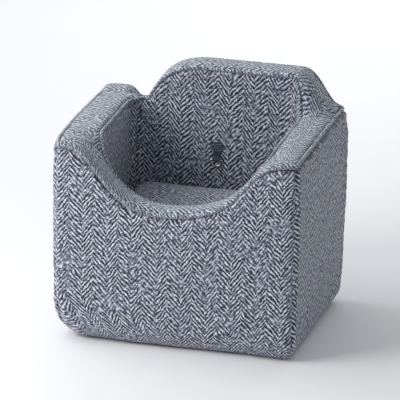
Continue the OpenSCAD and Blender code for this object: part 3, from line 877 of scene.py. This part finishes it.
band_edges = {
    "front": front_band_edges(110), "right": side_band_edges(90, 1),
    "left": side_band_edges(90, -1), "back": back_band_edges(120),
}
for side in sides:
    outer, inner = band_edges[side]
    share = band_share[:, None, None]
    plan = outer[None] * (1 - share) + inner[None] * share
    x, y = plan[..., 0], plan[..., 1]
    height = rim_height(x, y)
    if side == "left":
        x = x - left_bow(y) * (1 - share[..., 0]) ** 3
        height = height + 0.4 * left_bow(y) * ease(-0.55 * half_d, -0.2 * half_d, y)
    steps = np.sqrt(np.diff(x, axis=1) ** 2 + np.diff(y, axis=1) ** 2 + np.diff(height, axis=1) ** 2)
    along = np.concatenate([np.zeros((len(x), 1)), np.cumsum(steps, axis=1)], axis=1)
    along = along - along[:, along.shape[1] // 2][:, None]
    width = np.hypot(*(outer - inner).T)[None, :]
    across = band_share[:, None] * width
    cloth = spread(across, along)
    crown = 3.2 * MM * np.sin(band_share[:, None] * math.pi) ** 0.6
    uneven = 0.8 * MM * ripple(across, along, 60 * MM, 31 + sides.index(side))
    gather = 0.5 * MM * np.sin(along * math.tau / (15 * MM)) * np.exp(-across / (10 * MM))
    points = np.stack([x, y, height + crown - band_tuck[:, None] + uneven + gather], axis=-1)
    sew(side + "_rim_cloth", points, cloth, "up", 2.4 * MM, rim_tweed,
        "rim_band_" + side)

# %% [markdown]
# ## The welts
# A cord rolled in a bias strip of tweed finishes each edge of the rim. The strip pulls tight round
# the cord in slanting wrinkles, so the tube's section swells and shrinks in a slow screw along it.

# %% Roll the welts
welt_r = 4.4 * MM


def welt_path(plan, drop=welt_r):
    plan = resample(plan, max(12, int(step_lengths(plan).sum() / (2.2 * MM))))
    z = rim_height(plan[:, 0], plan[:, 1]) - drop
    x = plan[:, 0] - left_bow(plan[:, 1]) * ease(half_w - 20 * MM, half_w - 6 * MM, -plan[:, 0])
    return np.column_stack([x, plan[:, 1], z])


def corner_plan(half_x, half_y, radius, front):
    """One end of the bed: a corner, a straight run and the other corner."""
    cx, cy, sign = half_x - radius, half_y - radius, -1 if front else 1
    left = arc(-cx, cy, radius, 180, 90) * [1, sign]
    right = arc(cx, cy, radius, 90, 0) * [1, sign]
    return np.vstack([left, right])


def welt(path, radius=welt_r, seed=0):
    run = run_along(path)[:, None]
    turn = np.arange(14)[None, :] * math.tau / 14
    twist = np.sin(run * math.tau / (7.5 * MM) + turn + 0.8 * np.sin(run * 40 + seed))
    loose = ripple(run, 0 * run, 45 * MM, 50 + seed)
    return swept(path, round_section(radius, 14), 1 + 0.07 * twist + 0.05 * loose)


out_x, out_y = half_w - 3.8 * MM, half_d - 3.8 * MM
in_x, in_y, in_r = well_x + 4 * MM, well_y + 4 * MM, well_r + 4 * MM
edge_r = corner_r - 4 * MM
rest_turn = math.degrees(math.asin((well_r - 3 * MM) / in_r))
side_inner = np.vstack([[[in_x, well_r - well_y]], arc(well_x - well_r, well_y - well_r, in_r, 0, rest_turn)])
rest_front = np.array([[6 * MM - half_w, in_y], [half_w - 6 * MM, in_y]])
welts = {
    "outer_welt_front": corner_plan(out_x, out_y, edge_r, True),
    "outer_welt_back": corner_plan(out_x, out_y, edge_r, False),
    "outer_welt_left": np.array([[-out_x, edge_r - out_y], [-out_x, out_y - edge_r]]),
    "outer_welt_right": np.array([[out_x, edge_r - out_y], [out_x, out_y - edge_r]]),
    "inner_welt_front": corner_plan(in_x, in_y, in_r, True),
    "inner_welt_left": side_inner * [-1, 1],
    "inner_welt_right": side_inner,
    "inner_welt_back": rest_front,
}
for n, (node, plan) in enumerate(welts.items()):
    size = 1.08 if node == "outer_welt_front" else 0.9
    roll = joined(node.replace("welt", "welt_roll"), [welt(welt_path(plan), welt_r * size, seed=n)])
    dress(roll, welt_tweed, replaces=[node])
print("welts", len(welts))

# %% [markdown]
# ## The lining of the well
# The well is lined with the same tweed, four walls and a floor. The walls swell a little into the
# well above the cushion, and each top edge is turned back under the inner welt.

# %% Line the walls and the floor
def lining_points(side, rows=34):
    s = columns(70)[None, :]
    x, y, nx, ny = side_run(side, s, well_x, well_y, well_r)
    a = run_length(x[0], y[0])[None, :]
    top = rim_height(x, y) - 7.5 * MM
    climb = np.concatenate([np.linspace(0, 0.95, rows), [0.98, 1.0, 1.0, 1.0]])[:, None]
    rise = np.concatenate([np.zeros(rows + 2), [1.5, 3.0]])[:, None] * MM
    z = seat - 1 * MM + climb * (top - seat + 1 * MM) + rise
    back = np.concatenate([np.zeros(rows), [1.2, 4.0, 7.0, 10.0]])[:, None] * MM
    puff = {"front": 2.0, "right": 2.4, "left": 2.4, "back": 0.3}[side] * MM
    puff = puff * ease(seat + 60 * MM, seat + 110 * MM, z) * (1 - ease(0.8, 1.0, climb)) * (1 - s ** 4)
    uneven = 0.5 * MM * ripple(a, z, 60 * MM, 71 + sides.index(side))
    uneven = uneven * ease(seat + 50 * MM, seat + 90 * MM, z)
    seam = 1.6 * MM * np.exp(-((a[0, -1] - np.abs(a)) / (3 * MM)) ** 2)
    out = back + seam - puff - uneven * (0.25 if side == "back" else 1)
    cloth = spread(a, z)
    return np.stack([x + nx * out, y + ny * out, z], axis=-1), cloth


def rounded_plan(half_x, half_y, radius, z, cols=60, rows=44):
    """A flat grid over a rounded rectangle."""
    x = np.linspace(-half_x, half_x, cols)[None, :]
    past = np.clip(np.abs(x) - (half_x - radius), 0, radius)
    reach = half_y - radius + np.sqrt(radius ** 2 - past ** 2)
    y = np.linspace(-1, 1, rows)[:, None] * reach
    return spread(x, y, z).astype(float), spread(x, y)


for side in sides:
    points, cloth = lining_points(side)
    sew(side + "_lining_cloth", points, cloth, "in", 2.4 * MM, inside_tweed,
        "lining_" + side)
floor_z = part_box("lining_floor")[1].z
points, cloth = rounded_plan(well_x - 0.5 * MM, well_y - 0.5 * MM, well_r, floor_z)
points[..., 2] -= 0.4 * MM * (1 + ripple(points[..., 0], points[..., 1], 70 * MM, 80))
sew("floor_lining_cloth", points, cloth, "up", 2 * MM, inside_tweed,
    "lining_floor")

# %% [markdown]
# ## The non-slip base
# The cover closes underneath with a panel of dark canvas with rubber dots. Each dot is a low dome.

# %% Sew the base panel and print its dots
base_inset = 41 * MM
points, cloth = rounded_plan(half_w - base_inset, half_d - base_inset, 12 * MM, 0.7 * MM)
# the left end is narrower, because the cover's bottom edge is rounder there
left_end = ease(0.3, 1.0, -points[..., 0] / half_w)
points[..., 0] += 18 * MM * left_end
points[..., 1] *= 1 - 0.1 * left_end
sew("base_panel_cloth", points, cloth, "down", 2 * MM, base_cloth, "cover_base_panel")



def dome(x, y, radius, height, sides_count=8):
    """A low dome that hangs under the base."""
    rings = [(1.0, 0.0), (0.8, 0.6), (0.45, 0.93)]
    verts = []
    for share, deep in rings:
        for k in range(sides_count):
            turn, out = k * math.tau / sides_count, share * radius
            verts.append((x + out * math.cos(turn), y + out * math.sin(turn), height * (1 - deep)))
    faces = [tuple(range(sides_count))]
    for i in range(len(rings) - 1):
        for k in range(sides_count):
            a, b = i * sides_count + k, i * sides_count + (k + 1) % sides_count
            faces.append((a, a + sides_count, b + sides_count, b))
    faces.append(tuple(2 * sides_count + k for k in range(sides_count - 1, -1, -1)))
    return np.array(verts), faces, np.zeros((len(verts), 2))


dot_step = 22 * MM
dots = []
for row in range(-7, 8):
    for col in range(-9, 10):
        dots.append(dome((col + 0.5 * (row % 2)) * dot_step, row * dot_step, 3 * MM, 0.9 * MM))
dress(joined("base_grip_dots", dots), grip_rubber)
print("grip dots", len(dots))

# %% [markdown]
# ## The cushion
# The loose cushion is a slack bag of tweed round fibre fill. Its bag is blown up by a cloth simulation
# from a smaller block, which crowns its top and pulls its sides in between the corners, and it is
# then pressed flat where it lies on the floor of the well. The seam's welt goes on afterwards.

# %% Blow up the cushion
pad_lo, pad_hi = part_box("cushion_top_cover")
pad_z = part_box("cushion_bottom_cover")[0].z
pad_top = pad_hi.z
pad_mid = (pad_z + pad_top) / 2
pad_y = (pad_lo.y + pad_hi.y) / 2
pad_half_x, pad_half_y, pad_r = (pad_hi.x - pad_lo.x) / 2, (pad_hi.y - pad_lo.y) / 2, 37 * MM


def block_grid(half_x, half_y, radius, z0, z1, rings=6, count=96):
    """Rings of a closed rounded block: up its side and in over its top and bottom."""
    turn = np.linspace(0, math.tau, count, endpoint=False)
    def ring(shrink, z):
        r = max(radius - shrink, 2 * MM)
        cx, cy = half_x - shrink - r, half_y - shrink - r
        corner_x = np.sign(np.cos(turn)) * cx * np.clip(np.abs(np.cos(turn)) * 3, 0, 1)
        corner_y = np.sign(np.sin(turn)) * cy * np.clip(np.abs(np.sin(turn)) * 3, 0, 1)
        return np.stack([corner_x + r * np.cos(turn), corner_y + r * np.sin(turn), np.full(count, z)], axis=1)
    loops = [ring(half_y - 8 * MM, z0), ring(6 * MM, z0), ring(0, z0 + 6 * MM)]
    loops += [ring(0, z) for z in np.linspace(z0 + 6 * MM, z1 - 6 * MM, rings)[1:]]
    loops += [ring(6 * MM, z1), ring(half_y - 8 * MM, z1)]
    return np.array(loops)


def blow_up(block, pressure, frames, limit):
    """Runs a cloth simulation with air pressure, and caps how far each point may move."""
    before = corners(block)
    cloth = block.modifiers.new("cloth", "CLOTH")
    cloth.settings.use_pressure = True
    cloth.settings.uniform_pressure_force = pressure
    cloth.settings.effector_weights.gravity = 0
    cloth.settings.quality = 5
    cloth.point_cache.frame_end = frames
    scene = bpy.context.scene
    for step in range(1, frames + 1):
        scene.frame_set(step)
    bake_modifiers(block)
    scene.frame_set(1)
    move = corners(block) - before
    far = np.linalg.norm(move, axis=1)[:, None]
    move_corners(block, before + move * np.minimum(1, limit / np.maximum(far, 1e-9)))
    return float(far.max())


loops = block_grid(pad_half_x - 5 * MM, pad_half_y - 5 * MM, pad_r, -19 * MM, 19 * MM)
bag = loft("cushion_bag", loops)
remesh = bag.modifiers.new("remesh", "REMESH")
remesh.mode = "VOXEL"
remesh.voxel_size = 5 * MM
bake_modifiers(bag)
moved = blow_up(bag, 4.0, 20, 16 * MM)
print("cushion bag", len(bag.data.vertices), "points, moved up to", round(moved, 4))

# %% Press the cushion into the well
def pad_outline(x, y):
    """Distance inside the cushion's plan outline, which is negative outside it."""
    over_x, over_y = np.abs(x) - (pad_half_x - pad_r), np.abs(y) - (pad_half_y - pad_r)
    outside = np.hypot(np.maximum(over_x, 0), np.maximum(over_y, 0))
    return pad_r - (outside + np.minimum(np.maximum(over_x, over_y), 0))


def pressed(points):
    """Crowned above, flat below, drawn in at the seam, and inside the cushion's own space."""
    x, y, z = points.T.copy()
    inside = np.clip(pad_outline(x, y), 0, None)
    rise = np.clip(inside / (62 * MM), 0, 1)
    crown = np.sin(rise * math.pi / 2) ** 0.75
    share = np.clip(z / (24 * MM), -1, 1)
    half_h = pad_mid - pad_z
    top = 9 * MM + (half_h - 6 * MM) * crown
    bottom = 12 * MM + (half_h - 12 * MM) * np.clip(inside / (22 * MM), 0, 1) ** 0.5
    height = np.where(share > 0, share * top, share * bottom)
    height += np.where(share > 0.7, 1.3 * MM * ripple(x, y, 110 * MM, 91) * crown, 0)
    dip = 4 * MM * np.exp(-(x ** 2 + (y + 20 * MM) ** 2) / (95 * MM) ** 2)
    height -= np.where(share > 0.7, dip, 0)
    reach = np.hypot(x, y)
    spill = np.minimum(pad_outline(x, y) - 0.5 * MM, 0)
    x, y = x * (1 + spill / reach), y * (1 + spill / reach)
    height = np.maximum(height, pad_z - pad_mid + 0.3 * MM)
    return np.stack([x, y + pad_y, pad_mid + height], axis=1)


raw = corners(bag)
lay = pressed(raw)
gathers = 0.5 * MM * np.sin(np.arctan2(raw[:, 1], raw[:, 0]) * 46)
lay[:, 2] += gathers * np.exp(-((lay[:, 2] - pad_mid) / (11 * MM)) ** 2)
move_corners(bag, lay)
smooth = bag.modifiers.new("settle", "SMOOTH")
smooth.factor = 0.5
smooth.iterations = 3
bake_modifiers(bag)


def half_of_bag(name, upper):
    """The cover's upper or lower half, cut off at the seam and given its cloth's thickness."""
    half = copy_of(bag, name)
    cut = bmesh.new()
    cut.from_mesh(half.data)
    everything = cut.verts[:] + cut.edges[:] + cut.faces[:]
    bmesh.ops.bisect_plane(cut, geom=everything, plane_co=(0, 0, pad_mid), plane_no=(0, 0, 1),
                           clear_inner=upper, clear_outer=not upper)
    cut.to_mesh(half.data)
    cut.free()
    place = half.data.attributes.get("cloth") or half.data.attributes.new("cloth", "FLOAT_VECTOR", "POINT")
    flat = corners(half)
    outward = np.abs(flat[:, 2] - pad_mid)[:, None] * flat / np.linalg.norm(flat[:, :2], axis=1)[:, None]
    drop = 1 - ease(0, 40 * MM, pad_outline(flat[:, 0], flat[:, 1] - pad_y))[:, None]
    flat[:, :2] -= (outward * drop)[:, :2] * 0.5
    flat[:, 2] = 0
    place.data.foreach_set("vector", flat.ravel())
    subdivide = half.modifiers.new("smooth", "SUBSURF")
    subdivide.levels = subdivide.render_levels = 1
    shell = half.modifiers.new("thickness", "SOLIDIFY")
    shell.thickness = 1.6 * MM
    shell.offset = -1
    bake_modifiers(half)
    half.data.shade_smooth()
    return half


fill = copy_of(bag, "cushion_fibre")
middle = Vector((0, pad_y, pad_mid))
smaller = Matrix.Diagonal((0.985, 0.98, 0.9, 1))
fill.data.transform(Matrix.Translation(middle) @ smaller @ Matrix.Translation(-middle))
fill.data.shade_smooth()
dress(fill, loose_fibre, body="cushion", replaces=["cushion_fill"])
for upper, label in ((True, "top"), (False, "bottom")):
    cover = half_of_bag("cushion_" + label + "_cloth", upper)
    dress(cover, inside_tweed, body="cushion", replaces=["cushion_" + label + "_cover"])
bpy.data.objects.remove(bag)

# %% Sew the cushion's welt
seam_r = 2.5 * MM
ring = corner_plan(pad_half_x - 0.4 * MM, pad_half_y - 0.4 * MM, pad_r, False)
ring = np.vstack([ring, corner_plan(pad_half_x - 0.4 * MM, pad_half_y - 0.4 * MM, pad_r, True)[::-1]])
ring = resample(np.vstack([ring, ring[:1]]), 420)
seam_z = pad_mid + 0.4 * MM * np.sin(np.linspace(0, 38, 420))
ring_path = np.column_stack([ring[:, 0], ring[:, 1] + pad_y, seam_z])
cushion_welt = joined("cushion_welt_roll", [welt(ring_path, seam_r, seed=9)])
dress(cushion_welt, welt_tweed, body="cushion", replaces=["cushion_welt"])
print("cushion from", round(pad_z, 3), "to", round(pad_top, 3))

# %% [markdown]
# ## The zip
# The cover comes off through a coil zip low on the back. Each side of the zip is a woven tape with a
# nylon coil sewn to it, and the coil is a real helix here, squeezed flat as a zip's coil is.

# %% Weave the tapes and wind the coils
for part in ("upper", "lower"):
    lo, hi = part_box("zip_tape_" + part)
    xs = np.linspace(lo.x, hi.x, 90)[None, :]
    zs = np.linspace(lo.z, hi.z, 8)[:, None]
    uneven = 0.12 * MM * ripple(xs, zs, 30 * MM, 95)
    points, cloth = spread(xs, hi.y + uneven, zs), spread(zs, xs)
    sew("zip_tape_" + part + "_cloth", points, cloth, "out", 0.6 * MM, tape_cloth,
        "zip_tape_" + part)
    lo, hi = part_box("zip_coil_" + part)
    turns = round((hi.x - lo.x) / (2.4 * MM))
    t = np.linspace(0, turns * math.tau, turns * 9)
    mid_z, mid_y = (lo.z + hi.z) / 2, (lo.y + hi.y) / 2
    deep, tall = (hi.y - lo.y) / 2 - 0.42 * MM, (hi.z - lo.z) / 2 - 0.42 * MM
    phase = 0 if part == "upper" else math.pi
    helix = np.stack([
        np.linspace(lo.x + 0.6 * MM, hi.x - 0.6 * MM, len(t)),
        mid_y + deep * np.sin(t + phase), mid_z + tall * np.cos(t + phase),
    ], axis=1)
    coil = joined("zip_coil_" + part + "_wound", [swept(helix, round_section(0.42 * MM, 6))])
    dress(coil, coil_nylon, replaces=["zip_coil_" + part])
    print(coil.name, "has", turns, "turns")

# %% Finish the metal parts
for name in ("zip_closed_stop", "zip_open_stop", "zip_slider", "zip_pull"):
    finish_node(name, zip_metal, bevel=0.22 * MM)

# %% [markdown]
# ## Webbing on the back and in the well
# A loop of wide webbing on the back takes a car's seat belt, and a narrow tab inside holds a steel
# ring for a tether. Straps are swept along their own curve, because a remesh would melt them away.

# %% Sew the belt loop
def strap_piece(name, path, width, thick, steps):
    """A strap along a path in the plane x = 0."""
    path = np.column_stack([np.zeros(len(path)), path])
    return joined(name, [swept(path, strap_section(width, thick, steps))])


lo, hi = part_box("belt_loop")
patch_lo, patch_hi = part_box("belt_loop_patches")
web_w, web_t = hi.x - lo.x, 2 * MM
tail = 30 * MM
flat_y, proud_y = lo.y + web_t / 2, hi.y - web_t / 2
loop_path = np.array([
    [flat_y, lo.z], [flat_y, lo.z + 0.93 * tail], [flat_y + 0.8 * MM, lo.z + 1.14 * tail],
    [proud_y - 0.8 * MM, lo.z + 1.42 * tail], [proud_y, lo.z + 1.62 * tail],
    [proud_y, hi.z - 1.62 * tail], [proud_y - 0.8 * MM, hi.z - 1.42 * tail],
    [flat_y + 0.8 * MM, hi.z - 1.14 * tail], [flat_y, hi.z - 0.93 * tail], [flat_y, hi.z],
])
strap = strap_piece("belt_loop_webbing", softened(resample(loop_path, 90), 3), web_w, web_t, 26)
dress(strap, navy_webbing, replaces=["belt_loop"])


def patch_sheet(name, lo, hi, facing):
    xs = np.linspace(lo.x, hi.x, 30)[None, :]
    zs = np.linspace(lo.z, hi.z, 18)[:, None]
    show_y = hi.y if facing == "out" else lo.y
    edge_x = np.abs(xs - (lo.x + hi.x) / 2) / ((hi.x - lo.x) / 2)
    edge_z = np.abs(zs - (lo.z + hi.z) / 2) / ((hi.z - lo.z) / 2)
    sink = 0.35 * MM * ease(0.86, 1.0, np.maximum(edge_x, edge_z)) * (1 if facing == "out" else -1)
    cloth = spread(xs, zs)
    return cloth_sheet(name, spread(xs, show_y - sink, zs), cloth, facing, thick=0.8 * MM), cloth


def box_stitches(x0, x1, z0, z1, y, out, thread=0.38 * MM):
    """A sewn box with a cross in it."""
    corners = [(x0, z0), (x1, z0), (x1, z1), (x0, z1), (x0, z0)]
    runs = list(zip(corners[:-1], corners[1:])) + [((x0, z0), (x1, z1)), ((x0, z1), (x1, z0))]
    parts = []
    for a, b in runs:
        path = np.array([[a[0], y, a[1]], [b[0], y, b[1]]])
        parts += stitch_row(resample(path, 20), 2.4 * MM, 0.7 * MM, thread, (0, out * 0.25 * MM, 0))
    return parts


patch_h = tail - 4 * MM
patch_parts, box_parts = [], []
for z0 in (patch_lo.z, patch_hi.z - patch_h):
    low, high = Vector((patch_lo.x, patch_lo.y, z0)), Vector((patch_hi.x, patch_hi.y, z0 + patch_h))
    patch_parts.append(patch_sheet("belt_patch", low, high, "out")[0])
    box_parts += box_stitches(low.x + 3 * MM, high.x - 3 * MM, z0 + 3 * MM, z0 + patch_h - 3 * MM, high.y, 1)
bpy.ops.object.select_all(action="DESELECT")
for patch in patch_parts:
    patch.select_set(True)
bpy.context.view_layer.objects.active = patch_parts[0]
bpy.ops.object.join()
patch_parts[0].name = "belt_loop_patches_cloth"
dress(patch_parts[0], navy_webbing, replaces=["belt_loop_patches"])
dress(joined("belt_loop_thread", box_parts), pale_thread)
print("belt loop", round(web_w, 3), "wide,", len(box_parts), "stitches")

# %% Sew the tether tab and bend its ring
tab_lo, tab_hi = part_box("tether_tab")
ring_lo, ring_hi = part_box("tether_ring")
wire_r = (ring_hi.y - ring_lo.y) / 2
bar_y, bar_z = (ring_lo.y + ring_hi.y) / 2, ring_hi.z - wire_r
tab_in = wire_r + 0.3 * MM
web = 1.1 * MM
wrap = arc(bar_y, bar_z, tab_in + web / 2, 90, 360, 26)
front_y, back_y = tab_hi.y - 1.5 * web, tab_hi.y - web / 2
tab_path = np.vstack([
    [[front_y, tab_hi.z], [front_y, bar_z + tab_in + 5 * MM]], wrap[3:],
    [[back_y, bar_z + 2 * MM], [back_y, tab_hi.z]],
])
tab = strap_piece("tether_tab_webbing", softened(resample(tab_path, 110), 2), tab_hi.x - tab_lo.x, web, 14)
dress(tab, navy_webbing, replaces=["tether_tab"])
low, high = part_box("tether_tab_patch")
tab_patch, cloth = patch_sheet("tether_tab_patch_cloth", low, high, "in")
dress(tab_patch, navy_webbing, replaces=["tether_tab_patch"])
tab_thread = joined("tether_tab_thread", box_stitches(
    low.x + 2 * MM, high.x - 2 * MM, low.z + 2 * MM, high.z - 2 * MM, low.y, -1, thread=0.32 * MM))
dress(tab_thread, pale_thread)

ring_r = (ring_hi.x - ring_lo.x) / 2 - wire_r
bow = arc(0, bar_z, ring_r, 180, 360, 60)
bend = 3 * MM
ring_plan = np.vstack([
    [[0, bar_z], [bend - ring_r, bar_z]], arc(bend - ring_r, bar_z - bend, bend, 90, 180, 8),
    bow[12:-12], arc(ring_r - bend, bar_z - bend, bend, 0, 90, 8),
    [[ring_r - bend, bar_z], [0.01 * MM, bar_z]],
])
ring_plan = softened(resample(ring_plan, 160), 2)
ring_path = np.column_stack([ring_plan[:, 0], np.full(160, bar_y), ring_plan[:, 1]])
bent = joined("tether_ring_bent", [swept(ring_path, round_section(wire_r, 14))])
dress(bent, ring_steel, body="tether_ring", replaces=["tether_ring"])
print("tether ring", round(2 * ring_r, 4), "across")

# %% [markdown]
# ## Seams that hold the cover
# Rows of stitches show where the layers meet beside the zip. They are real threads, each one dipping into the
# cloth at its two ends.

# %% Stitch the zip's edges
zip_rows = []
for z in (slot_lo - 3.5 * MM, slot_hi + 3.5 * MM):
    path = np.array([[slot_end, half_d + 0.1 * MM, z], [-slot_end, half_d + 0.1 * MM, z]])
    zip_rows += stitch_row(resample(path, 200), 3 * MM, 1.2 * MM, 0.3 * MM, (0, 0.4 * MM, 0))
dress(joined("zip_edge_thread", zip_rows), navy_thread)
print("stitches beside the zip", len(zip_rows))

# %% [markdown]
# ## Light, floor and camera
# A large soft light from the front left and a softer one from above stand in for a photographer's
# studio, and a third, far back, lights the paper behind. The camera stands far back with a long
# lens, low over the floor and a little to the right.

# %% Set the stage
def area_light(name, place, aim, size, power, colour=(1, 1, 1)):
    data = bpy.data.lights.new(name, "AREA")
    data.size = size
    data.energy = power
    data.color = colour
    light = bpy.data.objects.new(name, data)
    light.location = place
    light.rotation_euler = (Vector(aim) - Vector(place)).to_track_quat("-Z", "Y").to_euler()
    bpy.context.scene.collection.objects.link(light)


floor_mesh = bpy.data.meshes.new("studio_floor")
reach = 7.0
floor_corners = [(-reach, -reach, 0), (reach, -reach, 0), (reach, reach, 0), (-reach, reach, 0)]
floor_mesh.from_pydata(floor_corners, [], [(0, 1, 2, 3)])
floor = bpy.data.objects.new("studio_floor", floor_mesh)
bpy.context.scene.collection.objects.link(floor)
paper = Shader("pale paper", 0.9)
paper_tones = two_tones((247, 247, 248), (250, 250, 251), 0.0, 1.0)
paper.colour(paper.ramp(paper.noise(paper.object_place(), 3.0, 2.0), paper_tones))
floor_mesh.materials.append(paper.material)
floor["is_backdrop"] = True

middle = (0, 0, rim / 2)
area_light("key", (-1.3, -1.15, 1.15), middle, 1.0, 24, (1.0, 0.985, 0.97))
area_light("top", (-1.5, 0.2, 2.3), middle, 1.8, 22, (0.93, 0.97, 1.0))
area_light("backdrop", (0, 2.8, 1.9), (0, 2.9, 0), 2.6, 36)
world = bpy.data.worlds.new("studio air")
world.use_nodes = True
air = world.node_tree.nodes["Background"].inputs
air["Color"].default_value = (0.93, 0.96, 1.0, 1)
air["Strength"].default_value = 0.4
bpy.context.scene.world = world
bpy.context.scene.view_settings.view_transform = "Standard"

# %% Stand the camera
azimuth, elevation, roll = (math.radians(v) for v in (13.607, 18.32, 1.285))
distance = 19.79
level = math.cos(elevation)
back = Vector((math.sin(azimuth) * level, -math.cos(azimuth) * level, math.sin(elevation)))
right = Vector((math.cos(azimuth), math.sin(azimuth), 0))
up = back.cross(right)
tilted_right = right * math.cos(roll) + up * math.sin(roll)
tilted_up = up * math.cos(roll) - right * math.sin(roll)
lens = bpy.data.cameras.new("camera")
lens.sensor_width = 36
lens.lens = 862.9
lens.clip_end = 100
camera = bpy.data.objects.new("camera", lens)
aim = Vector((0, 0, rim / 2)) + tilted_right * 1.9 * MM + tilted_up * 45.1 * MM
pose = Matrix((tilted_right, tilted_up, back)).transposed().to_4x4()
camera.matrix_world = Matrix.Translation(aim + back * distance) @ pose
bpy.context.scene.collection.objects.link(camera)
bpy.context.scene.camera = camera
print("camera", [round(v, 2) for v in camera.location])

# %% Measure the size of what is shown
lo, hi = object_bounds()
